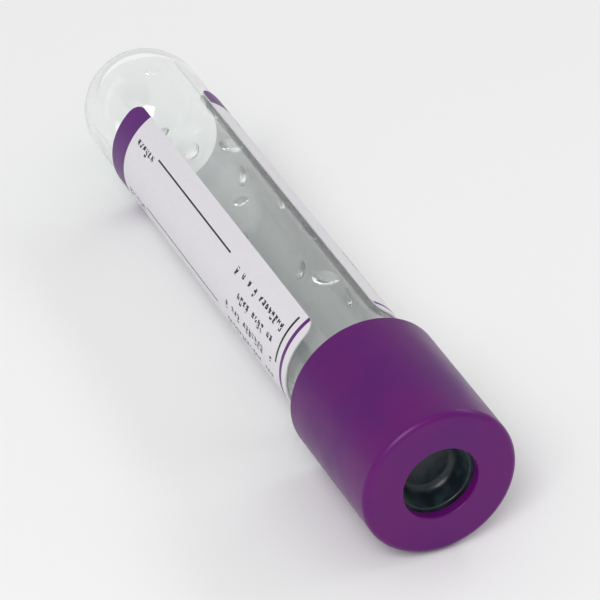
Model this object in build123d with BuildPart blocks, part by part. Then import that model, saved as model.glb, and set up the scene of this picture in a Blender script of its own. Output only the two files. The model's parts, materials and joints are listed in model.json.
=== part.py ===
from build123d import *
from math import acos, atan2, cos, degrees, hypot, pi, sin
import os

# A blood collection tube: a round-bottomed glass tube, closed by a rubber stopper that
# sits inside a plastic shield, with a paper label round the glass and droplets of liquid
# additive on the inner wall. Millimetres, +Z up.
# The tube lies on its side along +X, shield at the +X end, resting on its round bottom and
# on the rim of the shield's skirt. The shield is wider than the glass, so the tube's axis
# climbs slightly towards it. The origin is on the surface, below the middle of the part.

# --- Driving dimensions -------------------------------------------------------------------
# Glass tube
tube_diameter = 13.0
tube_length = 75.0
tube_wall = 1.0
rim_rounding = 0.45

# Rubber stopper
flange_overhang = 0.5
flange_thickness = 3.5
flange_rounding = 0.4
plug_length = 9.0
plug_lead_length = 1.6
plug_lead_inset = 0.6
seal_groove_width = 1.8
seal_groove_depth = 0.3
dish_land = 0.35
dish_depth = 2.4
dish_draft = 0.45
dish_corner_rounding = 0.9
well_diameter = 5.6
well_depth = 5.5
well_rounding = 1.0

# Plastic shield
shield_wall = 0.95
shield_height = 17.3
shield_plate = 1.2
shield_top_rounding = 0.7
shield_rim_rounding = 0.3
port_diameter = 7.8
port_rounding = 0.2
bead_height = 1.4
bead_slope = 0.36

# Paper label
label_height = 45.0
label_wrap = 34.0
label_start = 13.5
label_thickness = 0.15

# Liquid additive
droplet_count = 26
droplet_width_least = 1.4
droplet_width_most = 2.6
droplet_height_share = 0.21
droplets_start = 8.0
droplets_end = 61.0

# Clearances
plug_clearance = 0.05
seat_gap = 0.05
flange_clearance = 0.05
bead_clearance = 0.15
skirt_clearance = 0.3
glue_film = 0.02
droplet_film = 0.02

# --- Radii, and heights along the tube's axis from the tip of its round bottom -------------
tube_radius = tube_diameter / 2
bore_radius = tube_radius - tube_wall
flange_radius = tube_radius + flange_overhang
plug_radius = bore_radius - plug_clearance
port_radius = port_diameter / 2
flange_bore_radius = flange_radius + flange_clearance
shield_radius = flange_bore_radius + shield_wall
bead_radius = tube_radius + bead_clearance
skirt_bore_radius = tube_radius + skirt_clearance

flange_underside = tube_length + seat_gap
flange_top = flange_underside + flange_thickness
plug_end = flange_underside - plug_length
plate_underside = flange_top + seat_gap
shield_top = plate_underside + shield_plate
skirt_rim = shield_top - shield_height
bead_top = flange_underside - seat_gap
bead_bottom = bead_top - bead_height

# --- Where the tube lies ------------------------------------------------------------------
# Two circles touch the surface: the round bottom, and the rounding of the skirt's rim. From
# the centre of the one to the centre of the other is contact_run along the axis and
# contact_rise across it, and their heights above the surface are their own radii.
contact_run = skirt_rim + shield_rim_rounding - tube_radius
contact_rise = shield_radius - shield_rim_rounding
height_difference = tube_radius - shield_rim_rounding
tilt = acos(height_difference / hypot(contact_run, contact_rise)) - atan2(contact_run, contact_rise)

# The part's ends along X: the round bottom, and the lower side of the shield's top rounding.
top_rounding_run = shield_top - shield_top_rounding - tube_radius
shield_reach = (
    top_rounding_run * cos(tilt)
    + (shield_radius - shield_top_rounding) * sin(tilt)
    + shield_top_rounding
)
bottom_centre = Vector((tube_radius - shield_reach) / 2, 0, tube_radius)

axis_direction = Vector(cos(tilt), 0, sin(tilt))
upward = Vector(-sin(tilt), 0, cos(tilt))
tip = bottom_centre - axis_direction * tube_radius
tube_axis = Axis(tip, axis_direction)
# cross_plane looks along the axis. On side_plane X is the radius and Y the height.
cross_plane = Plane(origin=tip, x_dir=upward, z_dir=axis_direction)
side_plane = Plane(origin=tip, x_dir=upward, z_dir=upward.cross(axis_direction))

# --- Glass tube: one drawn wall with a round bottom and a fire-polished rim ----------------
with BuildPart() as glass_tube:
    with BuildSketch(side_plane):
        with BuildLine():
            CenterArc((0, tube_radius), tube_radius, -90, 90)
            Line((tube_radius, tube_radius), (tube_radius, tube_length))
            Line((tube_radius, tube_length), (bore_radius, tube_length))
            Line((bore_radius, tube_length), (bore_radius, tube_radius))
            CenterArc((0, tube_radius), bore_radius, 0, -90)
            Line((0, tube_wall), (0, 0))
        make_face()
    revolve(axis=tube_axis)
    fillet(glass_tube.edges().group_by(tube_axis)[-1], min(rim_rounding, 0.48 * tube_wall))
glass_tube.part.label = "glass_tube"

# --- Rubber stopper: a flange on the glass rim, a plug down the bore ------------------------
with BuildPart() as rubber_stopper:
    with BuildSketch(side_plane):
        with BuildLine():
            Polyline(
                (0, plug_end),
                (plug_radius - plug_lead_inset, plug_end),
                (plug_radius, plug_end + plug_lead_length),
                (plug_radius, flange_underside),
                (flange_radius, flange_underside),
                (flange_radius, flange_top),
                (0, flange_top),
                close=True,
            )
        make_face()
    revolve(axis=tube_axis)
    flange_rims = rubber_stopper.edges().filter_by(
        lambda edge: edge.geom_type == GeomType.CIRCLE and edge.radius > bore_radius
    )
    fillet(flange_rims, flange_rounding)

    # A groove halfway down the plug leaves a sealing band above it and one below.
    groove_centre = (plug_end + plug_lead_length + flange_underside) / 2
    with BuildSketch(cross_plane.offset(groove_centre)):
        Circle(plug_radius)
        Circle(plug_radius - seal_groove_depth, mode=Mode.SUBTRACT)
    extrude(amount=seal_groove_width / 2, both=True, mode=Mode.SUBTRACT)

    # The dish under the shield's port, where the needle goes in.
    dish_radius = port_radius - dish_land
    with BuildSketch(cross_plane.offset(flange_top)):
        Circle(dish_radius)
    extrude(amount=-dish_depth, taper=degrees(atan2(dish_draft, dish_depth)), mode=Mode.SUBTRACT)
    dish_floor = rubber_stopper.faces(Select.LAST).filter_by(GeomType.PLANE).sort_by(tube_axis)[0]
    fillet(dish_floor.edges(), dish_corner_rounding)

    # The well below leaves a thin wall of rubber for the needle to pierce.
    with BuildSketch(cross_plane.offset(plug_end)):
        Circle(well_diameter / 2)
    extrude(amount=well_depth, mode=Mode.SUBTRACT)
    well_roof = rubber_stopper.faces(Select.LAST).filter_by(GeomType.PLANE).sort_by(tube_axis)[-1]
    fillet(well_roof.edges(), well_rounding)
rubber_stopper.part.label = "rubber_stopper"

# --- Shield: a cap with a port over the stopper and a skirt round the glass -----------------
with BuildPart() as cap_shield:
    with BuildSketch(side_plane):
        with BuildLine():
            Polyline(
                (port_radius, shield_top),
                (shield_radius, shield_top),
                (shield_radius, skirt_rim),
                (skirt_bore_radius, skirt_rim),
                (skirt_bore_radius, bead_bottom),
                (bead_radius, bead_bottom + bead_slope),
                (bead_radius, bead_top - bead_slope),
                (flange_bore_radius, bead_top),
                (flange_bore_radius, plate_underside),
                (port_radius, plate_underside),
                close=True,
            )
        make_face()
    revolve(axis=tube_axis)
    port_rings = cap_shield.edges().filter_by(GeomType.CIRCLE).group_by(SortBy.RADIUS)[0]
    fillet(port_rings, port_rounding)
    top_rings = cap_shield.edges().filter_by(GeomType.CIRCLE).group_by(tube_axis)[-1]
    fillet(top_rings.sort_by(SortBy.RADIUS)[-1], shield_top_rounding)
    rim_rings = cap_shield.edges().filter_by(GeomType.CIRCLE).group_by(tube_axis)[0]
    fillet(rim_rings, shield_rim_rounding)
cap_shield.part.label = "cap_shield"

# --- Paper label: wrapped round the glass, its ends apart to leave a clear window -----------
# The window faces up: the side with paper all round is the heavier one and rolls below.
label_radius = tube_radius + glue_film
label_arc = degrees(label_wrap / label_radius)
window_arc = 360 - label_arc
label_edge = upward.rotate(Axis((0, 0, 0), axis_direction), window_arc / 2)
label_edge_plane = Plane(origin=tip, x_dir=label_edge, z_dir=label_edge.cross(axis_direction))
with BuildPart() as paper_label:
    with BuildSketch(label_edge_plane):
        with BuildLine():
            Polyline(
                (label_radius, label_start),
                (label_radius + label_thickness, label_start),
                (label_radius + label_thickness, label_start + label_height),
                (label_radius, label_start + label_height),
                close=True,
            )
        make_face()
    revolve(axis=tube_axis, revolution_arc=label_arc)
paper_label.part.label = "paper_label"

# --- Liquid additive: droplets that cling to the inner wall ---------------------------------
# Each droplet is the cap of a sphere that dips out of the wall. Golden-ratio steps spread
# them round the wall and vary their widths without a pattern that shows.
golden_share = (5 ** 0.5 - 1) / 2
wet_radius = bore_radius - droplet_film
droplets = []
for index in range(droplet_count):
    step = (index * golden_share) % 1
    width = droplet_width_least + (droplet_width_most - droplet_width_least) * step
    cap_height = width * droplet_height_share
    ball_radius = (width ** 2 / 4 + cap_height ** 2) / (2 * cap_height)
    ball_distance = wet_radius + ball_radius - cap_height
    turn = 2 * pi * golden_share * index
    height = droplets_start + (droplets_end - droplets_start) * (index + 0.5) / droplet_count
    with BuildPart(cross_plane.offset(height)) as droplet:
        with Locations((ball_distance * cos(turn), ball_distance * sin(turn))):
            Sphere(ball_radius)
        Cylinder(wet_radius, 2 * ball_radius, mode=Mode.INTERSECT)
    droplets.append(droplet.part)
with BuildPart() as additive_droplets:
    add(droplets)
additive_droplets.part.label = "additive_droplets"

# --- Files ----------------------------------------------------------------------------------
os.makedirs("parts", exist_ok=True)
export_step(glass_tube.part, "parts/glass_tube.step")
export_step(rubber_stopper.part, "parts/rubber_stopper.step")
export_step(cap_shield.part, "parts/cap_shield.step")
export_step(paper_label.part, "parts/paper_label.step")
export_step(additive_droplets.part, "parts/additive_droplets.step")
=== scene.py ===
# %% [markdown]
# # A blood collection tube
#
# This lesson dresses one evacuated blood collection tube for the camera. It is a glass tube
# with a round bottom. A rubber stopper closes it, and sits inside a plastic shield with a
# port in its top. A paper label is wrapped round the glass, and droplets of liquid additive
# cling to the inner wall.
#
# The sizes come from a finished CAD model, which is loaded first. Every piece made here takes
# its radii and heights from that model and stands where the model's own piece stands, so
# nothing has to be fitted by eye. All lengths are metres; names that end in _mm are
# millimetres.

# %% Load the CAD model
import json
from math import asin, atan2, cos, degrees, pi, radians, sin

import bmesh
import bpy
from mathutils import Matrix, Vector


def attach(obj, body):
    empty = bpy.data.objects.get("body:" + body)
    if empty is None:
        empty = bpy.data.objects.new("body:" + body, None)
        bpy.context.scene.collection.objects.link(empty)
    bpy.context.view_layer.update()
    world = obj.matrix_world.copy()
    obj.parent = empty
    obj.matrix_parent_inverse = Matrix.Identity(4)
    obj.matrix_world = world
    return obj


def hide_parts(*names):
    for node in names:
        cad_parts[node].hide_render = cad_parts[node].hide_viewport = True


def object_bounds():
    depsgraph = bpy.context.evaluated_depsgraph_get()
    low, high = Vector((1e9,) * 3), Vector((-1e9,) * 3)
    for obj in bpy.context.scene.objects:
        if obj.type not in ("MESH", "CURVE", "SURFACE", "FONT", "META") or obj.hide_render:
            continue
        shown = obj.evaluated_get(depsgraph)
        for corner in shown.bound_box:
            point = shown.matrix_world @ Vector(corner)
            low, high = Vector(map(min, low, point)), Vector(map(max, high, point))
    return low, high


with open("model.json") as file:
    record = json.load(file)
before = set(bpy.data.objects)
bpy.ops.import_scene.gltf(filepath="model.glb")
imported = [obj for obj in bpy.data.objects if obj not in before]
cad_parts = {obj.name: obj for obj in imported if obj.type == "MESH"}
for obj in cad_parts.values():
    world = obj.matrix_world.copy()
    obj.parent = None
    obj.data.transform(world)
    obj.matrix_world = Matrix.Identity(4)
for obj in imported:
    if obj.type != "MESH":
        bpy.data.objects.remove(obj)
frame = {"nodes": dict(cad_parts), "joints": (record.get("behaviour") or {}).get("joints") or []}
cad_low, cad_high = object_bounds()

mm = 0.001


def in_mm(*lengths):
    """Lengths in millimetres, rounded for printing."""
    return [round(value / mm, 2) for value in lengths]


print("CAD box, mm:", in_mm(*(cad_high - cad_low)))

# %% [markdown]
# ## The camera
#
# A tube with a round bottom can't stand, so it lies on its side. The camera looks down on it
# from beyond the capped end, so the shield's face with its port and dish is turned to us and
# the labelled glass runs away behind it.
#
# The camera could be placed by trial. Here only its direction and distance are chosen, and
# the aim and the lens are worked out: each point of the model is seen from the camera as two
# slopes, across and up, and the lens is the one that gives those slopes the wanted share of
# the picture. A small object seen from arm's length needs a long lens.

# %% Direction, distance and share of the picture
camera_azimuth = radians(66)
camera_elevation = radians(36)
camera_distance = 0.44
picture_share = 0.84
sensor_mm = 36.0

camera_back = Vector((
    sin(camera_azimuth) * cos(camera_elevation),
    -cos(camera_azimuth) * cos(camera_elevation),
    sin(camera_elevation),
))
camera_turn = (-camera_back).to_track_quat("-Z", "Y")
picture_right = camera_turn @ Vector((1, 0, 0))
picture_up = camera_turn @ Vector((0, 1, 0))


# %% Aim at the model's middle and find the lens
def seen_slopes(eye):
    """The model's lowest and highest slopes across and up the picture, seen from eye."""
    across, up = [], []
    for cad_node in frame["nodes"].values():
        for vertex in cad_node.data.vertices:
            ray = vertex.co - eye
            depth = -ray.dot(camera_back)
            across.append(ray.dot(picture_right) / depth)
            up.append(ray.dot(picture_up) / depth)
    return min(across), max(across), min(up), max(up)


aim = (cad_low + cad_high) / 2
for attempt in range(3):
    eye = aim + camera_back * camera_distance
    left, right, low, high = seen_slopes(eye)
    aim += picture_right * camera_distance * (left + right) / 2
    aim += picture_up * camera_distance * (low + high) / 2
lens_mm = sensor_mm * picture_share / max(right - left, high - low)

bpy.ops.object.select_all(action="DESELECT")
bpy.ops.object.camera_add(location=aim + camera_back * camera_distance)
camera = bpy.context.object
camera.name = "camera"
camera.rotation_euler = camera_turn.to_euler()
camera.data.lens = lens_mm
camera.data.sensor_width = sensor_mm
camera.data.clip_start, camera.data.clip_end = 0.01, 10
bpy.context.scene.camera = camera
print("lens", round(lens_mm), "mm, aim, mm:", in_mm(*aim))

# %% [markdown]
# ## The tube's own coordinates
#
# The tube lies tilted by about a degree and a half, because its shield is wider than its
# glass. Modelling a turned shape straight onto a tilted axis would be a torment. So each piece
# is modelled upright, round the Z axis, with the tip of the round bottom at zero, and is laid
# down when it is finished. The tilt comes from the axis of the model's own twist joint.
#
# Turned pieces are fully told by their rings: a height along the axis and a radius. The next
# cell reads the rings of a CAD node, and the pieces below take their sizes from them.

# %% Axis, tip and the matrix that lays a piece down
twist = next(joint for joint in frame["joints"] if joint["name"] == "shield_twist")
axis = Vector(twist["axis"]).normalized()
pivot = Vector(twist["pos_m"])
glass_points = [vertex.co for vertex in frame["nodes"]["glass_tube"].data.vertices]
tip = pivot + axis * min((point - pivot).dot(axis) for point in glass_points)
upward = (Vector((0, 0, 1)) - axis * axis.z).normalized()
sideways = axis.cross(upward)
lying = Matrix((upward, sideways, axis)).transposed().to_4x4()
lying.translation = tip
print("tilt", round(degrees(pi / 2 - axis.angle(Vector((0, 0, 1)))), 2), "degrees")

# %% Helpers that read rings
# Rings within a hundredth of a millimetre of each other count as level.
level_slack = 1e-5


def rings(node):
    """The (height, radius) of every vertex of a CAD node, about the tube's axis."""
    found = []
    for vertex in frame["nodes"][node].data.vertices:
        height = (vertex.co - tip).dot(axis)
        found.append((height, (vertex.co - tip - axis * height).length))
    return found


def heights(node, least, most):
    """Heights of the node's vertices whose radius lies from least to most."""
    least, most = least - level_slack, most + level_slack
    return [height for height, radius in rings(node) if least <= radius <= most]


def radii(node, least, most):
    """Radii of the node's vertices whose height lies from least to most."""
    least, most = least - level_slack, most + level_slack
    return [radius for height, radius in rings(node) if least <= height <= most]


# %% Sizes of the glass and the shield
glass_radius = max(radii("glass_tube", 0, 1))
glass_top = max(heights("glass_tube", 0, 1))
bore_radius = min(radii("glass_tube", glass_top - 2 * mm, glass_top))
glass_wall = glass_radius - bore_radius

shield_top = max(heights("cap_shield", 0, 1))
skirt_rim = min(heights("cap_shield", 0, 1))
shield_radius = max(radii("cap_shield", 0, 1))
port_radius = min(radii("cap_shield", 0, 1))
plate_underside = min(heights("cap_shield", 0, port_radius + 0.5 * mm))
pocket_radius = max(radii("cap_shield", plate_underside, plate_underside))
bead_radius = min(radii("cap_shield", skirt_rim, plate_underside - 1 * mm))
bead_low = min(heights("cap_shield", bead_radius, bead_radius))
bead_high = max(heights("cap_shield", bead_radius, bead_radius))
skirt_bore = min(radii("cap_shield", skirt_rim + 0.2 * mm, bead_low - 0.2 * mm))
bead_bottom = max(heights("cap_shield", skirt_bore, skirt_bore))
bead_top = min(
    height for height in heights("cap_shield", pocket_radius, pocket_radius)
    if height > bead_high
)
print("glass radius, length and wall", in_mm(glass_radius, glass_top, glass_wall))
print("shield heights", in_mm(skirt_rim, bead_bottom, bead_top, plate_underside, shield_top))
print("shield radii", in_mm(port_radius, bead_radius, skirt_bore, pocket_radius, shield_radius))

# %% [markdown]
# ## Modelling a turned piece by carrying a ring
#
# A lathe part can be made from a profile and a spin. The same form also comes from one ring
# that is carried along: extrude it, move the copy up or down, and scale it about the axis.
# This way is chosen because it is what one does by hand with E, G and S, and because each
# step is one line with a height and a radius, read straight off the real piece's section.
#
# The helpers below start a ring, carry it, and pick rings again by height and radius, which
# is how the bevels find their edges.


# %% Helpers for turned pieces
# How far a vertex may lie from the ring it belongs to, and how close two vertices merge.
ring_slack = 0.02 * mm
merge_distance = 1e-6


def start_ring(name, height, radius, sides=160):
    """A new object with one open ring, left in edit mode with the ring selected."""
    bpy.ops.object.select_all(action="DESELECT")
    bpy.ops.mesh.primitive_circle_add(vertices=sides, radius=radius, location=(0, 0, height))
    piece = bpy.context.object
    piece.name = piece.data.name = name
    bpy.ops.object.transform_apply()
    bpy.ops.object.mode_set(mode="EDIT")
    bpy.ops.mesh.select_all(action="SELECT")
    return piece


def carry_ring(*stops):
    """Extrudes the selected ring from each (height, radius) stop to the next."""
    for (old_height, old_radius), (height, radius) in zip(stops, stops[1:]):
        rise = (0, 0, height - old_height)
        bpy.ops.mesh.extrude_region_move(TRANSFORM_OT_translate={"value": rise})
        grow = radius / old_radius
        bpy.ops.transform.resize(value=(grow, grow, 1), center_override=(0, 0, height))


def pick_rings(piece, *wanted):
    """Selects the closed rings of edges at each (height, radius), and nothing else."""
    bpy.ops.mesh.select_mode(type="EDGE")
    bpy.ops.mesh.select_all(action="DESELECT")
    mesh = bmesh.from_edit_mesh(piece.data)
    for edge in mesh.edges:
        for height, radius in wanted:
            if all(
                abs(vertex.co.z - height) < ring_slack
                and abs(vertex.co.xy.length - radius) < ring_slack
                for vertex in edge.verts
            ):
                edge.select_set(True)
    mesh.select_flush_mode()
    bmesh.update_edit_mesh(piece.data)
    return sum(edge.select for edge in mesh.edges)


def bevel_rings(piece, width, segments, *wanted):
    """Rounds the rings at each (height, radius)."""
    count = pick_rings(piece, *wanted)
    bpy.ops.mesh.bevel(offset=width, segments=segments, affect="EDGES")
    print(piece.name, "bevelled", count, "edges by, mm", in_mm(width))


def close_piece(piece):
    """Merges doubles, turns the faces outwards and goes back to object mode."""
    bpy.ops.mesh.select_all(action="SELECT")
    bpy.ops.mesh.remove_doubles(threshold=merge_distance)
    bpy.ops.mesh.normals_make_consistent(inside=False)
    bpy.ops.object.mode_set(mode="OBJECT")


def apply_modifier(piece, kind, **settings):
    """Adds one modifier with its settings and applies it."""
    modifier = piece.modifiers.new(kind.title(), kind)
    for name, value in settings.items():
        setattr(modifier, name, value)
    bpy.context.view_layer.objects.active = piece
    bpy.ops.object.modifier_apply(modifier=modifier.name)


def smooth(piece, angle=40):
    """Smooth shading, with broad flat faces kept flat up to their bevels."""
    bpy.ops.object.select_all(action="DESELECT")
    piece.select_set(True)
    bpy.context.view_layer.objects.active = piece
    bpy.ops.object.shade_smooth_by_angle(angle=radians(angle))
    apply_modifier(piece, "WEIGHTED_NORMAL", keep_sharp=True)


def lay_down(piece, body, cad_node):
    """Lays a finished upright piece where the CAD node is, and lets it stand for that node."""
    bpy.ops.object.select_all(action="DESELECT")
    piece.select_set(True)
    bpy.context.view_layer.objects.active = piece
    piece.matrix_world = lying
    bpy.ops.object.transform_apply()
    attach(piece, body)
    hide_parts(cad_node)
    print(piece.name, "has", len(piece.data.polygons), "faces")


# %% [markdown]
# ## The shield
#
# The shield is one moulding of purple polyethylene: a flat top with a round port, a rounded
# outer edge, a straight outside, and inside it a pocket for the stopper, a bead that holds the
# stopper in, and a bore that clears the glass. It is a ring section, so one ring goes all
# the way round: up the port, out over the top, down the outside, and back up the inside to
# where it began. The last ring then merges with the first.
#
# The edges are bevelled afterwards, while they are still sharp rings that are easy to pick:
# the big rounding of the top edge, the port's small lips, and the skirt's rim.

# %% Carry the shield's ring
port_low, port_high = (plate_underside, port_radius), (shield_top, port_radius)
top_edge, rim_outside = (shield_top, shield_radius), (skirt_rim, shield_radius)
rim_inside = (skirt_rim, skirt_bore)
shield = start_ring("moulded_shield", *port_low, sides=192)
carry_ring(
    port_low,
    port_high,
    top_edge,
    rim_outside,
    rim_inside,
    (bead_bottom, skirt_bore),
    (bead_low, bead_radius),
    (bead_high, bead_radius),
    (bead_top, pocket_radius),
    (plate_underside, pocket_radius),
    port_low,
)
close_piece(shield)

# %% Round the shield's edges
top_rounding, port_rounding, rim_rounding = 0.70 * mm, 0.20 * mm, 0.30 * mm
bpy.ops.object.mode_set(mode="EDIT")
bevel_rings(shield, top_rounding, 8, top_edge)
bevel_rings(shield, port_rounding, 4, port_high, port_low)
bevel_rings(shield, rim_rounding, 4, rim_outside, rim_inside)
close_piece(shield)
smooth(shield)
lay_down(shield, "shield", "cap_shield")

# %% [markdown]
# ## The stopper
#
# The stopper is butyl rubber. Its flange fills the shield's pocket, its plug fills the mouth
# of the glass, and a dish under the port shows the needle where to go. A well from below
# leaves only a thin wall to pierce. The same ring method makes it, but this section reaches
# the axis twice, in the dish's floor and the well's roof, so the first and the last ring are
# filled with a face.
#
# The dish's corner is rounded widely, as rubber moulds are: a sharp inner corner would tear.

# %% Sizes of the stopper
flange_top = max(heights("rubber_stopper", 0, 1))
flange_radius = max(radii("rubber_stopper", 0, 1))
flange_underside = min(heights("rubber_stopper", glass_radius, 1))
plug_end = min(heights("rubber_stopper", 0, 1))
plug_radius = max(radii("rubber_stopper", plug_end, flange_underside - 1 * mm))
plug_tip_radius = max(radii("rubber_stopper", plug_end, plug_end))
lead_end = min(heights("rubber_stopper", plug_radius, plug_radius))
well_radius = min(radii("rubber_stopper", plug_end, plug_end))
well_roof = max(heights("rubber_stopper", 0, min(radii("rubber_stopper", 0, 1))))
dish_rim_radius = min(radii("rubber_stopper", flange_top, flange_top))
dish = [ring for ring in rings("rubber_stopper") if ring[0] > well_roof + 1 * mm]
dish_floor = min(height for height, radius in dish if radius < dish_rim_radius)
groove_radius = min(
    radius for radius in radii("rubber_stopper", lead_end, flange_underside)
    if radius > plug_radius - 0.5 * mm
)
groove_heights = heights("rubber_stopper", groove_radius, groove_radius)
groove_low, groove_high = min(groove_heights), max(groove_heights)

# The dish's wall leans: from its lowest straight point the slope is carried to the floor.
above_corner = dish_floor + 0.7 * mm
wall_foot, wall_foot_radius = min(
    ring for ring in dish if ring[0] > above_corner and ring[1] < dish_rim_radius
)
dish_slope = (dish_rim_radius - wall_foot_radius) / (flange_top - wall_foot)
dish_floor_radius = dish_rim_radius - dish_slope * (flange_top - dish_floor)
print("stopper heights", in_mm(plug_end, well_roof, flange_underside, dish_floor, flange_top))
print("dish, rim and floor radius", in_mm(dish_rim_radius, dish_floor_radius))

# %% Carry the stopper's ring
floor_edge, roof_edge = (dish_floor, dish_floor_radius), (well_roof, well_radius)
flange_top_edge = (flange_top, flange_radius)
flange_low_edge = (flange_underside, flange_radius)
dish_lip, plug_lead = (flange_top, dish_rim_radius), (lead_end, plug_radius)
stopper = start_ring("moulded_stopper", *floor_edge)
carry_ring(
    floor_edge,
    dish_lip,
    flange_top_edge,
    flange_low_edge,
    (flange_underside, plug_radius),
    (groove_high, plug_radius),
    (groove_high, groove_radius),
    (groove_low, groove_radius),
    (groove_low, plug_radius),
    plug_lead,
    (plug_end, plug_tip_radius),
    (plug_end, well_radius),
    roof_edge,
)
bpy.ops.mesh.edge_face_add()
pick_rings(stopper, floor_edge)
bpy.ops.mesh.edge_face_add()
close_piece(stopper)

# %% Round the stopper's edges
# A bevel's offset runs along the faces: the dish's wall leans, so 0.747 rounds it by 0.9.
dish_corner_offset, well_rounding, flange_rounding = 0.747 * mm, 1.00 * mm, 0.40 * mm
lip_rounding, lead_rounding, groove_rounding = 0.12 * mm, 0.40 * mm, 0.08 * mm
bpy.ops.object.mode_set(mode="EDIT")
bevel_rings(stopper, dish_corner_offset, 8, floor_edge)
bevel_rings(stopper, well_rounding, 8, roof_edge)
bevel_rings(stopper, flange_rounding, 6, flange_top_edge, flange_low_edge)
bevel_rings(stopper, lip_rounding, 3, dish_lip)
bevel_rings(stopper, lead_rounding, 4, plug_lead)
bevel_rings(
    stopper, groove_rounding, 2, (groove_high, groove_radius), (groove_high, plug_radius),
    (groove_low, groove_radius), (groove_low, plug_radius),
)
close_piece(stopper)
smooth(stopper)
lay_down(stopper, "stopper", "rubber_stopper")

# %% [markdown]
# ## The glass
#
# The tube is drawn glass with a blown round bottom. What makes glass look right is its wall:
# light bends at the outside and again at the inside, so it must be a closed shell of the true
# thickness, not a single skin.
#
# A sphere gives the bottom. Its upper half is cut away by a bisect at the middle, the open
# ring is extruded to the tube's full length, and Solidify grows the wall inwards. Then the two
# edges of the mouth are rounded, as a flame rounds them on the real tube.

# %% Sphere, bisect, extrude
bpy.ops.object.select_all(action="DESELECT")
bpy.ops.mesh.primitive_uv_sphere_add(
    segments=160, ring_count=80, radius=glass_radius, location=(0, 0, glass_radius)
)
glass = bpy.context.object
glass.name = glass.data.name = "drawn_glass"
bpy.ops.object.transform_apply()
bpy.ops.object.mode_set(mode="EDIT")
bpy.ops.mesh.select_all(action="SELECT")
bpy.ops.mesh.bisect(
    plane_co=(0, 0, glass_radius), plane_no=(0, 0, 1), clear_outer=True,
    threshold=merge_distance,
)
pick_rings(glass, (glass_radius, glass_radius))
carry_ring((glass_radius, glass_radius), (glass_top, glass_radius))
close_piece(glass)

# %% Wall and mouth
mouth_rounding = 0.45 * mm
apply_modifier(glass, "SOLIDIFY", thickness=glass_wall, offset=-1, use_even_offset=True)
bpy.ops.object.mode_set(mode="EDIT")
bevel_rings(glass, mouth_rounding, 6, (glass_top, glass_radius), (glass_top, bore_radius))
bpy.ops.object.mode_set(mode="OBJECT")
smooth(glass)
lay_down(glass, "tube", "glass_tube")
print("the round bottom's tip is at x, mm", in_mm(min(v.co.x for v in glass.data.vertices)))

# %% [markdown]
# ## The label
#
# The label is coated paper, cut flat with rounded corners, and wrapped round the glass by a
# machine. Its ends stay apart, which leaves a clear window to see the blood through.
#
# It could be spun straight onto the cylinder, but then its corners would be hard to round and
# its print hard to place. So it is made as the real one is: a flat plate, its corners
# bevelled, its outline sliced into narrow strips so that it can bend, its print laid out in
# flat coordinates, and only then wrapped by a Bend. The thickness comes last, outwards from
# the glue line.

# %% Sizes of the label
label_low = min(heights("paper_label", 0, 1))
label_high = max(heights("paper_label", 0, 1))
glue_radius = min(radii("paper_label", 0, 1))
label_radius = max(radii("paper_label", 0, 1))
half_window = min(
    upward.angle((vertex.co - tip) - axis * (vertex.co - tip).dot(axis))
    for vertex in frame["nodes"]["paper_label"].data.vertices
)
label_arc = 2 * pi - 2 * half_window
label_length = label_arc * glue_radius
label_height = label_high - label_low
label_strips, label_corner = 150, 1.5 * mm
print("label, mm", in_mm(label_length, label_height),
      "window", round(degrees(2 * half_window), 1), "degrees")

# %% Cut the label flat
bpy.ops.object.select_all(action="DESELECT")
bpy.ops.mesh.primitive_plane_add(size=1, rotation=(radians(90), 0, 0))
label = bpy.context.object
label.name = label.data.name = "wrapped_label"
bpy.ops.object.transform_apply()
bpy.ops.object.mode_set(mode="EDIT")
bpy.ops.mesh.select_all(action="SELECT")
bpy.ops.transform.resize(value=(label_length, 1, label_height), center_override=(0, 0, 0))
bpy.ops.mesh.bevel(offset=label_corner, segments=8, affect="VERTICES")
for strip in range(1, label_strips):
    cut = label_length * (strip / label_strips - 0.5)
    bpy.ops.mesh.select_all(action="SELECT")
    bpy.ops.mesh.bisect(plane_co=(cut, 0, 0), plane_no=(1, 0, 0), threshold=1e-7)
bpy.ops.object.mode_set(mode="OBJECT")

# %% Lay out its print coordinates
while label.data.uv_layers:
    label.data.uv_layers.remove(label.data.uv_layers[0])
flat_uv = label.data.uv_layers.new(name="flat_print")
for loop in label.data.loops:
    corner = label.data.vertices[loop.vertex_index].co
    flat_uv.data[loop.index].uv = (corner.x / label_length + 0.5, corner.z / label_height + 0.5)
print("print coordinates on", len(label.data.loops), "corners")

# %% Wrap it and give it its thickness
apply_modifier(label, "SIMPLE_DEFORM", deform_method="BEND", deform_axis="Z", angle=label_arc)
bpy.ops.object.mode_set(mode="EDIT")
bpy.ops.mesh.select_all(action="SELECT")
bpy.ops.transform.translate(value=(0, -glue_radius, 0))
bpy.ops.object.mode_set(mode="OBJECT")
label.rotation_euler = (0, 0, -pi / 2)
label.location = (0, 0, (label_low + label_high) / 2)
bpy.ops.object.transform_apply()
apply_modifier(
    label, "SOLIDIFY", thickness=label_radius - glue_radius, offset=1, use_even_offset=True,
)
reach = [vertex.co.xy.length for vertex in label.data.vertices]
print("wrapped between the radii, mm", in_mm(min(reach), max(reach)))
smooth(label)
lay_down(label, "tube", "paper_label")

# %% [markdown]
# ## The droplets
#
# The liquid additive clings to the inner wall as small flat drops, like lenses. Light bends
# through them, so any flat facet would show as a stripe, and each must be truly round. They
# differ only in width, so one drop is modelled flat, one unit wide, with the ring helpers.
# Each copy is then sized, and wrapped onto the wall at the place where the CAD model has one.
#
# The CAD node holds all the drops in one mesh. Vertices that are joined by edges belong to the
# same drop, so a walk along the edges tells the drops apart.

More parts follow.
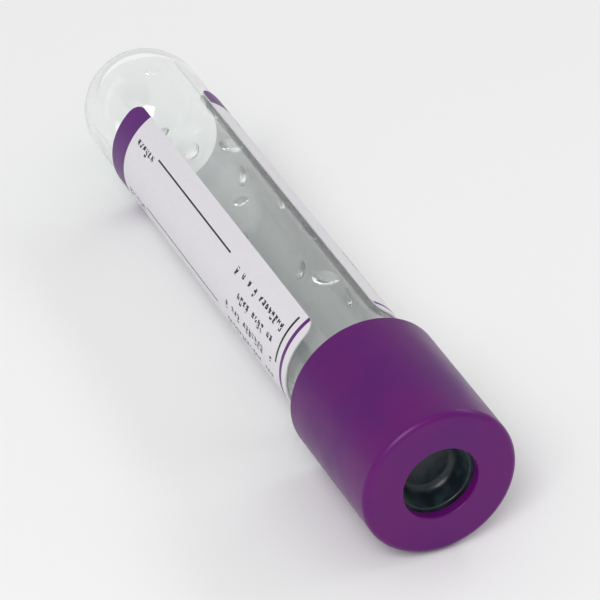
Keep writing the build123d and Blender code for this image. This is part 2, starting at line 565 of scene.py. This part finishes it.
# %% Tell the drops apart
wet_radius = max(radii("additive_droplets", 0, 1))
cad_drops = bmesh.new()
cad_drops.from_mesh(frame["nodes"]["additive_droplets"].data)
bmesh.ops.remove_doubles(cad_drops, verts=cad_drops.verts, dist=merge_distance)
groups, visited = [], set()
for start in cad_drops.verts:
    if start in visited:
        continue
    visited.add(start)
    waiting, points = [start], []
    while waiting:
        vertex = waiting.pop()
        points.append(lying.inverted() @ vertex.co)
        for edge in vertex.link_edges:
            neighbour = edge.other_vert(vertex)
            if neighbour not in visited:
                visited.add(neighbour)
                waiting.append(neighbour)
    groups.append(points)
cad_drops.free()
print(len(groups), "drops")

# %% Measure each drop: height along the tube, turn round it, and width
places = []
for points in groups:
    low, high = min(point.z for point in points), max(point.z for point in points)
    middle = sum((point.xy.normalized() for point in points), Vector((0, 0))).normalized()
    turns = [middle.angle_signed(point.xy) for point in points]
    turn = atan2(middle.y, middle.x) - (min(turns) + max(turns)) / 2
    places.append(((low + high) / 2, turn, high - low))
widths = [width for height, turn, width in places]
print("narrowest and widest, mm", in_mm(min(widths), max(widths)))

# %% Model one flat drop, one unit wide
drop_height = 0.21
cap_rings = 10
ball = (0.25 + drop_height ** 2) / (2 * drop_height)
rim_angle = asin(0.5 / ball)
base_stops = [(0.0, radius) for radius in (0.02, 0.14, 0.26, 0.38, 0.5)]
cap_stops = []
for step in range(1, cap_rings):
    angle = rim_angle * (1 - step / cap_rings)
    cap_stops.append((ball * cos(angle) - ball * cos(rim_angle), ball * sin(angle)))
one_drop = start_ring("one_drop", 0.0, 0.02, sides=40)
bpy.ops.mesh.edge_face_add()
carry_ring(*base_stops, *cap_stops)
bpy.ops.mesh.edge_face_add()
close_piece(one_drop)
smooth(one_drop)

# %% Wrap a copy of it at each place
bpy.ops.object.select_all(action="DESELECT")
for height, turn, width in places:
    drop = one_drop.copy()
    drop.data = one_drop.data.copy()
    bpy.context.scene.collection.objects.link(drop)
    for vertex in drop.data.vertices:
        along_tube, around_tube, off_wall = vertex.co * width
        angle = turn + around_tube / wet_radius
        radius = wet_radius - off_wall
        vertex.co = (radius * cos(angle), radius * sin(angle), height + along_tube)
    drop.select_set(True)
bpy.data.objects.remove(one_drop)
bpy.context.view_layer.objects.active = drop
bpy.ops.object.join()
drops = bpy.context.object
drops.name = drops.data.name = "additive_drops"
bpy.ops.object.mode_set(mode="EDIT")
close_piece(drops)
smooth(drops)
lay_down(drops, "tube", "additive_droplets")

# %% [markdown]
# ## Finishes
#
# Every finish is built from nodes. Two small helpers carry the work: one turns a hex colour
# as a painter's chart gives it into the linear numbers that the renderer wants, and one adds a
# node with its settings and its links. What goes into a socket may be a number, an output, or
# a whole node, which stands for its first output.


# %% Helpers for finishes
def colour(code):
    """A linear RGBA colour from an sRGB hex code."""
    channels = [int(code[at:at + 2], 16) / 255 for at in (1, 3, 5)]
    linear = [c / 12.92 if c <= 0.04045 else ((c + 0.055) / 1.055) ** 2.4 for c in channels]
    return (*linear, 1.0)


def add_node(tree, kind, settings=None, sockets=None):
    """Adds one node: its own settings, then a value or a link for each of its sockets."""
    made = tree.nodes.new(kind)
    for name, value in (settings or {}).items():
        setattr(made, name, value)
    for socket, value in (sockets or {}).items():
        if isinstance(value, bpy.types.Node):
            value = next(output for output in value.outputs if output.enabled)
        if isinstance(value, bpy.types.NodeSocket):
            tree.links.new(value, made.inputs[socket])
        else:
            made.inputs[socket].default_value = value
    return made


def new_finish(name):
    """An empty node material and its tree."""
    finish = bpy.data.materials.new(name)
    finish.use_nodes = True
    finish.node_tree.nodes.clear()
    return finish, finish.node_tree


def per_mm(size_mm):
    """The scale that gives a texture on Object coordinates a feature of this size."""
    return 1 / (size_mm * mm)


# %% [markdown]
# ### Moulded polyethylene
#
# The shield is high-density polyethylene, coloured through and injection moulded in a polished
# mould. That gives the eye a deep satin purple with soft, broad highlights, and a thin pale
# line where the rounded edge turns to the light. The pigment is never mixed quite evenly, so
# the colour drifts from a redder to a bluer purple over several millimetres. The plastic
# shrinks unevenly as it cools, which leaves shallow waves some millimetres long, a little
# duller on their crests, and the mould leaves a fine grain. The real grain is
# finer than a tenth of a millimetre, and is drawn four times as coarse so that it shows.

# %% Finish of the shield
shield_finish, tree = new_finish("moulded polyethylene, purple")
place = add_node(tree, "ShaderNodeTexCoord").outputs["Object"]
drift = add_node(tree, "ShaderNodeTexNoise", {}, {
    "Vector": place, "Scale": per_mm(7), "Detail": 2.0, "Roughness": 0.5,
})
mixing = add_node(tree, "ShaderNodeMapRange", {}, {
    "Value": drift, "From Min": 0.35, "From Max": 0.65,
})
pigment = add_node(tree, "ShaderNodeMix", {"data_type": "RGBA"}, {
    "Factor": mixing, "A": colour("#600D66"), "B": colour("#560D66"),
})
waves = add_node(tree, "ShaderNodeTexNoise", {}, {
    "Vector": place, "Scale": per_mm(3.5), "Detail": 1.0,
})
gloss = add_node(tree, "ShaderNodeMapRange", {}, {
    "Value": waves, "From Min": 0.3, "From Max": 0.7, "To Min": 0.30, "To Max": 0.38,
})
shrinkage = add_node(tree, "ShaderNodeBump", {}, {
    "Height": waves, "Strength": 0.3, "Distance": 0.03 * mm,
})
grain = add_node(tree, "ShaderNodeTexNoise", {}, {
    "Vector": place, "Scale": per_mm(0.4), "Detail": 1.0,
})
bump = add_node(tree, "ShaderNodeBump", {}, {
    "Height": grain, "Strength": 0.1, "Distance": 0.005 * mm, "Normal": shrinkage,
})
shader = add_node(tree, "ShaderNodeBsdfPrincipled", {}, {
    "Base Color": pigment, "Roughness": gloss, "IOR": 1.52, "Specular IOR Level": 0.24,
    "Normal": bump,
})
add_node(tree, "ShaderNodeOutputMaterial", {}, {"Surface": shader})
shield.data.materials.append(shield_finish)

# %% [markdown]
# ### Butyl rubber
#
# The stopper is halogenated butyl rubber, compression moulded and siliconised. It is a very
# dark green grey, smooth but not shiny. A thin bloom of silicone and filler lies on it in
# patches, paler and duller, so it never reads as black plastic. The same bloom catches light
# at a glancing angle, which a little sheen gives. The dish's rounded corner mirrors the room
# as a pale crescent.

# %% Finish of the stopper
rubber_finish, tree = new_finish("butyl rubber, dark green grey")
place = add_node(tree, "ShaderNodeTexCoord").outputs["Object"]
patches = add_node(tree, "ShaderNodeTexNoise", {}, {
    "Vector": place, "Scale": per_mm(1.6), "Detail": 4.0, "Roughness": 0.6,
})
bloom = add_node(tree, "ShaderNodeMapRange", {}, {
    "Value": patches, "From Min": 0.42, "From Max": 0.72,
})
skin = add_node(tree, "ShaderNodeMix", {"data_type": "RGBA"}, {
    "Factor": bloom, "A": colour("#0E181C"), "B": colour("#24343A"),
})
dulling = add_node(tree, "ShaderNodeMapRange", {}, {
    "Value": bloom, "To Min": 0.30, "To Max": 0.46,
})
pores = add_node(tree, "ShaderNodeTexNoise", {}, {
    "Vector": place, "Scale": per_mm(0.2), "Detail": 2.0,
})
bump = add_node(tree, "ShaderNodeBump", {}, {
    "Height": pores, "Strength": 0.2, "Distance": 0.02 * mm,
})
shader = add_node(tree, "ShaderNodeBsdfPrincipled", {}, {
    "Base Color": skin, "Roughness": dulling, "IOR": 1.52, "Normal": bump,
    "Sheen Weight": 0.22, "Sheen Roughness": 0.45, "Sheen Tint": colour("#B4CCD4"),
})
add_node(tree, "ShaderNodeOutputMaterial", {}, {"Surface": shader})
stopper.data.materials.append(rubber_finish)

# %% [markdown]
# ### Soda-lime glass
#
# The tube is clear soda-lime glass. In daylight it shows as bent light and as a faint green
# where one looks along the wall, which a little absorption in its volume gives. Drawing the
# tube leaves shallow streaks along it, long and a millimetre or two apart, and they break
# reflections into streaks. They come from a noise that is stretched along the tube's axis, so
# the coordinates are turned onto that axis first.
#
# A renderer finds a lamp by a straight ray, and bent light seldom meets one. So to such a
# shadow ray the glass is merely transparent, which lets the lamps light what is inside. The
# rays that gather light from all around go straight through as well. If they were bent, they
# would meet the lamps a second time and leave a glare on the floor beside the tube.

# %% Finish of the glass
glass_green, green_per_m = colour("#D9E1DC"), 70.0
glass_finish, tree = new_finish("soda-lime glass, clear")
place = add_node(tree, "ShaderNodeTexCoord").outputs["Object"]
along = add_node(tree, "ShaderNodeMapping", {"vector_type": "TEXTURE"}, {
    "Vector": place, "Location": tip, "Rotation": lying.to_euler(), "Scale": (1, 1, 30),
})
streaks = add_node(tree, "ShaderNodeTexNoise", {}, {
    "Vector": along, "Scale": per_mm(1.6), "Detail": 2.0,
})
bump = add_node(tree, "ShaderNodeBump", {}, {
    "Height": streaks, "Strength": 0.2, "Distance": 0.02 * mm,
})
bending = add_node(tree, "ShaderNodeBsdfPrincipled", {}, {
    "Base Color": colour("#FFFFFF"), "Roughness": 0.0, "IOR": 1.52,
    "Transmission Weight": 1.0, "Normal": bump,
})
letting_by = add_node(tree, "ShaderNodeBsdfTransparent", {}, {"Color": colour("#FAFCFB")})
rays = add_node(tree, "ShaderNodeLightPath")
straight = add_node(tree, "ShaderNodeMath", {"operation": "MAXIMUM"}, {
    0: rays.outputs["Is Shadow Ray"], 1: rays.outputs["Is Diffuse Ray"],
})
shader = add_node(tree, "ShaderNodeMixShader", {}, {0: straight, 1: bending, 2: letting_by})
tint = add_node(tree, "ShaderNodeVolumeAbsorption", {}, {
    "Color": glass_green, "Density": green_per_m,
})
add_node(tree, "ShaderNodeOutputMaterial", {}, {"Surface": shader, "Volume": tint})
glass.data.materials.append(glass_finish)

# %% [markdown]
# When the closure is off, one looks straight into the end of the wall. On the real tube light
# runs up and down inside it, so the mouth shows as a pale green ring. A renderer gives up on
# such long paths and shows black. So the faces of the mouth get a finish of their own: the same
# glass with a pale green diffuse colour mixed in, which is painted light standing in for the
# light in the wall.

# %% Finish of the mouth
mouth_finish, tree = new_finish("soda-lime glass, mouth with painted wall light")
place = add_node(tree, "ShaderNodeTexCoord").outputs["Object"]
# Painted light: a pale green diffuse colour, mottled by this noise, stands in for the light that
# runs inside the wall.
painted_light_mottle = add_node(tree, "ShaderNodeTexNoise", {}, {
    "Vector": place, "Scale": per_mm(1.0), "Detail": 2.0,
})
painted_wall_light_colour = add_node(tree, "ShaderNodeMix", {"data_type": "RGBA"}, {
    "Factor": painted_light_mottle, "A": colour("#C3D6CB"), "B": colour("#E0ECE5"),
})
bending = add_node(tree, "ShaderNodeBsdfPrincipled", {}, {
    "Base Color": colour("#FFFFFF"), "Roughness": 0.05, "IOR": 1.52, "Transmission Weight": 1.0,
})
# This diffuse shader carries the painted wall light.
painted_wall_light = add_node(tree, "ShaderNodeBsdfPrincipled", {}, {
    "Base Color": painted_wall_light_colour, "Roughness": 0.15, "IOR": 1.52,
})
# About two thirds of the mouth's surface is the painted wall light, one third clear glass.
shader = add_node(tree, "ShaderNodeMixShader", {}, {0: 0.65, 1: bending, 2: painted_wall_light})
tint = add_node(tree, "ShaderNodeVolumeAbsorption", {}, {
    "Color": glass_green, "Density": green_per_m,
})
add_node(tree, "ShaderNodeOutputMaterial", {}, {"Surface": shader, "Volume": tint})
glass.data.materials.append(mouth_finish)
for face in glass.data.polygons:
    if (face.center - tip).dot(axis) > glass_top - mouth_rounding + level_slack:
        face.material_index = 1

# %% [markdown]
# ### Coated label paper
#
# The label is white paper with a satin coat, printed in two colours: purple, which tells the
# additive, and near black. All of it is plain marks here: a purple band at the round end, rows
# of tiny dark marks where small print would stand, lines to write on with a short mark at the
# head of each, and a line for the fill level. The marks are laid out in millimetres on the
# flat label. Across, the label runs round the tube; along, it runs from the round end to the
# shield.
#
# A printed mark is a mask: one where there is ink, nought elsewhere. Compare gives one for a
# band from its middle and its half width, Multiply crosses two bands, and Maximum adds masks
# together. Nothing here is lettering: each row is cut into cells, and a dice throw for each
# cell says whether it holds a tall mark, a low mark or a gap. Specks a third of a millimetre
# wide are left out of every mark, which breaks it up as the strokes of small type would.

# %% Millimetres across and along the label
label_finish, tree = new_finish("coated label paper, printed")
flat = add_node(tree, "ShaderNodeUVMap", {"uv_map": "flat_print"})
split = add_node(tree, "ShaderNodeSeparateXYZ", {}, {"Vector": flat})
across = add_node(tree, "ShaderNodeMath", {"operation": "MULTIPLY"}, {
    0: split.outputs["X"], 1: label_length / mm,
})
length = add_node(tree, "ShaderNodeMath", {"operation": "MULTIPLY"}, {
    0: split.outputs["Y"], 1: label_height / mm,
})

# %% Cells of the small print
row_pitch, mark_pitch = 1.9, 0.72
rows = add_node(tree, "ShaderNodeMath", {"operation": "DIVIDE"}, {0: across, 1: row_pitch})
cells = add_node(tree, "ShaderNodeMath", {"operation": "DIVIDE"}, {0: length, 1: mark_pitch})
row_number = add_node(tree, "ShaderNodeMath", {"operation": "FLOOR"}, {0: rows})
cell_number = add_node(tree, "ShaderNodeMath", {"operation": "FLOOR"}, {0: cells})
in_row = add_node(tree, "ShaderNodeMath", {"operation": "FRACT"}, {0: rows})
in_cell = add_node(tree, "ShaderNodeMath", {"operation": "FRACT"}, {0: cells})
cell = add_node(tree, "ShaderNodeCombineXYZ", {}, {"X": cell_number, "Y": row_number})
dice = add_node(tree, "ShaderNodeTexWhiteNoise", {"noise_dimensions": "2D"}, {"Vector": cell})
dice = dice.outputs["Value"]

# %% Marks in the cells: four in five hold one, and three in ten hold a tall one
filled = add_node(tree, "ShaderNodeMath", {"operation": "GREATER_THAN"}, {0: dice, 1: 0.2})
tall = add_node(tree, "ShaderNodeMath", {"operation": "GREATER_THAN"}, {0: dice, 1: 0.7})
half_tall = add_node(tree, "ShaderNodeMath", {"operation": "MULTIPLY_ADD"}, {
    0: tall, 1: 0.09, 2: 0.15,
})
middle = add_node(tree, "ShaderNodeMath", {"operation": "ADD"}, {0: half_tall, 1: 0.22})
up_and_down = add_node(tree, "ShaderNodeMath", {"operation": "COMPARE"}, {
    0: in_row, 1: middle, 2: half_tall,
})
side_to_side = add_node(tree, "ShaderNodeMath", {"operation": "COMPARE"}, {
    0: in_cell, 1: 0.4, 2: 0.33,
})
mark = add_node(tree, "ShaderNodeMath", {"operation": "MULTIPLY"}, {
    0: up_and_down, 1: side_to_side,
})
mark = add_node(tree, "ShaderNodeMath", {"operation": "MULTIPLY"}, {0: mark, 1: filled})
flat_mm = add_node(tree, "ShaderNodeCombineXYZ", {}, {"X": length, "Y": across})
specks = add_node(tree, "ShaderNodeTexNoise", {"noise_dimensions": "2D"}, {
    "Vector": flat_mm, "Scale": 1 / 0.3, "Detail": 0.0,
})
inked = add_node(tree, "ShaderNodeMath", {"operation": "GREATER_THAN"}, {0: specks, 1: 0.42})
marks = add_node(tree, "ShaderNodeMath", {"operation": "MULTIPLY"}, {0: mark, 1: inked})

# %% [markdown]
# The fields below say where each kind of ink lies, as start and end along and across the
# label. One loop turns each of them into a mask and adds it to the ink.

# %% Where the inks lie
label_mm = label_length / mm
line_rows, margin = 3, 1.4
every_third = add_node(tree, "ShaderNodeMath", {"operation": "FLOORED_MODULO"}, {
    0: row_number, 1: line_rows,
})
line_row = add_node(tree, "ShaderNodeMath", {"operation": "COMPARE"}, {
    0: every_third, 1: 1.0, 2: 0.1,
})
line_head = add_node(tree, "ShaderNodeMath", {"operation": "MULTIPLY"}, {0: marks, 1: line_row})
hairline = add_node(tree, "ShaderNodeMath", {"operation": "COMPARE"}, {
    0: in_row, 1: 0.13, 2: 0.05,
})
write_line = add_node(tree, "ShaderNodeMath", {"operation": "MULTIPLY"}, {
    0: hairline, 1: line_row,
})
dark_fields = [
    (marks, 30.2, 41.8, margin, label_mm - margin),
    (line_head, 4.4, 8.6, margin, label_mm - margin),
    (write_line, 9.2, 28.0, margin, label_mm - margin),
    (1.0, 42.4, 42.7, 0.7, 6.0),
]
purple_fields = [(1.0, -1.0, 3.2, -1.0, label_mm + 1), (1.0, 43.5, 44.0, -1.0, label_mm + 1)]

# %% Add up the ink of each colour
inks = []
for fields in (dark_fields, purple_fields):
    ink = 0.0
    for pattern, low, high, left, right in fields:
        lengthwise = add_node(tree, "ShaderNodeMath", {"operation": "COMPARE"}, {
            0: length, 1: (low + high) / 2, 2: (high - low) / 2,
        })
        crosswise = add_node(tree, "ShaderNodeMath", {"operation": "COMPARE"}, {
            0: across, 1: (left + right) / 2, 2: (right - left) / 2,
        })
        field = add_node(tree, "ShaderNodeMath", {"operation": "MULTIPLY"}, {
            0: lengthwise, 1: crosswise,
        })
        field = add_node(tree, "ShaderNodeMath", {"operation": "MULTIPLY"}, {
            0: field, 1: pattern,
        })
        ink = add_node(tree, "ShaderNodeMath", {"operation": "MAXIMUM"}, {0: field, 1: ink})
    inks.append(ink)
dark_ink, purple_ink = inks
print("the printed finish has", len(tree.nodes), "nodes")

# %% [markdown]
# Paper lets a little light through, and this tube is lit through its label as much as through
# its window. So both finishes of the label mix some Translucent into the paper.

# %% Paper, ink and coat
place = add_node(tree, "ShaderNodeTexCoord").outputs["Object"]
fibres = add_node(tree, "ShaderNodeTexNoise", {}, {
    "Vector": place, "Scale": per_mm(0.35), "Detail": 4.0, "Roughness": 0.65,
})
paper = add_node(tree, "ShaderNodeMix", {"data_type": "RGBA"}, {
    "Factor": fibres, "A": colour("#E9E6EC"), "B": colour("#F4F2F6"),
})
with_purple = add_node(tree, "ShaderNodeMix", {"data_type": "RGBA"}, {
    "Factor": purple_ink, "A": paper, "B": colour("#651F7C"),
})
with_dark = add_node(tree, "ShaderNodeMix", {"data_type": "RGBA"}, {
    "Factor": dark_ink, "A": with_purple, "B": colour("#2B2530"),
})
bump = add_node(tree, "ShaderNodeBump", {}, {
    "Height": fibres, "Strength": 0.15, "Distance": 0.01 * mm,
})
coated = add_node(tree, "ShaderNodeBsdfPrincipled", {}, {
    "Base Color": with_dark, "Roughness": 0.38, "IOR": 1.48, "Normal": bump,
})
lit_through = add_node(tree, "ShaderNodeBsdfTranslucent", {}, {"Color": with_dark})
shader = add_node(tree, "ShaderNodeMixShader", {}, {0: 0.15, 1: coated, 2: lit_through})
add_node(tree, "ShaderNodeOutputMaterial", {}, {"Surface": shader})

# %% The label's bare back and cut edges
back_finish, tree = new_finish("label paper, gummed back")
place = add_node(tree, "ShaderNodeTexCoord").outputs["Object"]
fibres = add_node(tree, "ShaderNodeTexNoise", {}, {
    "Vector": place, "Scale": per_mm(0.5), "Detail": 4.0,
})
paper = add_node(tree, "ShaderNodeMix", {"data_type": "RGBA"}, {
    "Factor": fibres, "A": colour("#E8E6E8"), "B": colour("#F6F5F6"),
})
gummed = add_node(tree, "ShaderNodeBsdfPrincipled", {}, {
    "Base Color": paper, "Roughness": 0.7, "IOR": 1.48,
})
lit_through = add_node(tree, "ShaderNodeBsdfTranslucent", {}, {"Color": paper})
shader = add_node(tree, "ShaderNodeMixShader", {}, {0: 0.25, 1: gummed, 2: lit_through})
add_node(tree, "ShaderNodeOutputMaterial", {}, {"Surface": shader})

# %% Give the print to the outside only
label.data.materials.append(label_finish)
label.data.materials.append(back_finish)
printed = 0
for face in label.data.polygons:
    outwards = (face.center - tip) - axis * (face.center - tip).dot(axis)
    is_outside = face.normal.dot(outwards.normalized()) > 0.9
    face.material_index = 0 if is_outside else 1
    printed += is_outside
print("faces with print:", printed, "bare:", len(label.data.polygons) - printed)

# %% [markdown]
# ### Liquid additive
#
# The additive is a salt in water. A drop of it is clear and fully smooth, and bends light a
# little less than glass, which is why the drops can just be told from the wall. As with the
# glass, shadow rays and gathering rays go straight through.

# %% Finish of the droplets
liquid_finish, tree = new_finish("salt solution, clear")
place = add_node(tree, "ShaderNodeTexCoord").outputs["Object"]
ripple = add_node(tree, "ShaderNodeTexNoise", {}, {
    "Vector": place, "Scale": per_mm(1.2), "Detail": 1.0,
})
bump = add_node(tree, "ShaderNodeBump", {}, {
    "Height": ripple, "Strength": 0.1, "Distance": 0.05 * mm,
})
bending = add_node(tree, "ShaderNodeBsdfPrincipled", {}, {
    "Base Color": colour("#FFFFFF"), "Roughness": 0.0, "IOR": 1.36,
    "Transmission Weight": 1.0, "Normal": bump,
})
letting_by = add_node(tree, "ShaderNodeBsdfTransparent", {}, {"Color": colour("#FAFBFC")})
rays = add_node(tree, "ShaderNodeLightPath")
straight = add_node(tree, "ShaderNodeMath", {"operation": "MAXIMUM"}, {
    0: rays.outputs["Is Shadow Ray"], 1: rays.outputs["Is Diffuse Ray"],
})
shader = add_node(tree, "ShaderNodeMixShader", {}, {0: straight, 1: bending, 2: letting_by})
add_node(tree, "ShaderNodeOutputMaterial", {}, {"Surface": shader})
drops.data.materials.append(liquid_finish)

# %% [markdown]
# ## The studio
#
# A pale paper floor, one large softbox high in front of the capped end, a smaller one behind
# that draws a bright line along the glass, and an even white sky. The sky looks white to the
# camera and through glass. It lights the object at a plainer level and is mirrored at that
# level too, so that colours come out about as they are written and deep ones stay deep. The
# floor is paper under the object, where it takes the shadow, and fades to the same white
# further out, so no horizon shows.

# %% Floor
pure_paper_m, pure_white_m = 0.10, 0.80
bpy.ops.object.select_all(action="DESELECT")
bpy.ops.mesh.primitive_plane_add(size=6.0)
studio_floor = bpy.context.object
studio_floor.name = "studio_floor"
floor_finish, tree = new_finish("white studio paper")
paper = add_node(tree, "ShaderNodeBsdfPrincipled", {}, {
    "Base Color": colour("#F5F5F5"), "Roughness": 0.9, "Specular IOR Level": 0.2,
})
place = add_node(tree, "ShaderNodeTexCoord").outputs["Object"]
distance = add_node(tree, "ShaderNodeVectorMath", {"operation": "LENGTH"}, {0: place})
far = add_node(tree, "ShaderNodeMapRange", {"interpolation_type": "SMOOTHSTEP"}, {
    "Value": distance.outputs["Value"], "From Min": pure_paper_m, "From Max": pure_white_m,
})
rays = add_node(tree, "ShaderNodeLightPath")
seen = add_node(tree, "ShaderNodeMath", {"operation": "MAXIMUM"}, {
    0: rays.outputs["Is Camera Ray"], 1: rays.outputs["Is Transmission Ray"],
})
whiteness = add_node(tree, "ShaderNodeMath", {"operation": "MULTIPLY"}, {0: seen, 1: far})
white = add_node(tree, "ShaderNodeEmission", {}, {"Color": colour("#FFFFFF"), "Strength": 1.0})
shader = add_node(tree, "ShaderNodeMixShader", {}, {0: whiteness, 1: paper, 2: white})
add_node(tree, "ShaderNodeOutputMaterial", {}, {"Surface": shader})
studio_floor.data.materials.append(floor_finish)


# %% Softboxes
def softbox(name, position, size, watts):
    """A rectangular lamp that faces the middle of the object."""
    lamp = bpy.data.lights.new(name, "AREA")
    lamp.shape, lamp.size, lamp.size_y = "RECTANGLE", size[0], size[1]
    lamp.energy = watts
    holder = bpy.data.objects.new(name, lamp)
    bpy.context.scene.collection.objects.link(holder)
    holder.location = position
    toward = (cad_low + cad_high) / 2 - Vector(position)
    holder.rotation_euler = toward.to_track_quat("-Z", "Y").to_euler()
    print(name, watts, "W,", round(toward.length, 2), "m away")


softbox("front_softbox", (0.36, -0.28, 0.48), (0.30, 0.30), 2.0)
softbox("side_softbox", (-0.10, 0.45, 0.35), (0.50, 0.10), 0.6)

# %% Sky
fill_strength = 0.55
world = bpy.data.worlds.new("studio_sky")
bpy.context.scene.world = world
world.use_nodes = True
tree = world.node_tree
tree.nodes.clear()
rays = add_node(tree, "ShaderNodeLightPath")
seen = add_node(tree, "ShaderNodeMath", {"operation": "MAXIMUM"}, {
    0: rays.outputs["Is Camera Ray"], 1: rays.outputs["Is Transmission Ray"],
})
fill_light = add_node(tree, "ShaderNodeBackground", {}, {
    "Color": colour("#FFFFFF"), "Strength": fill_strength,
})
white_light = add_node(tree, "ShaderNodeBackground", {}, {
    "Color": colour("#FFFFFF"), "Strength": 1.0,
})
sky = add_node(tree, "ShaderNodeMixShader", {}, {0: seen, 1: fill_light, 2: white_light})
add_node(tree, "ShaderNodeOutputWorld", {}, {"Surface": sky})
bpy.context.scene.view_settings.view_transform = "Standard"
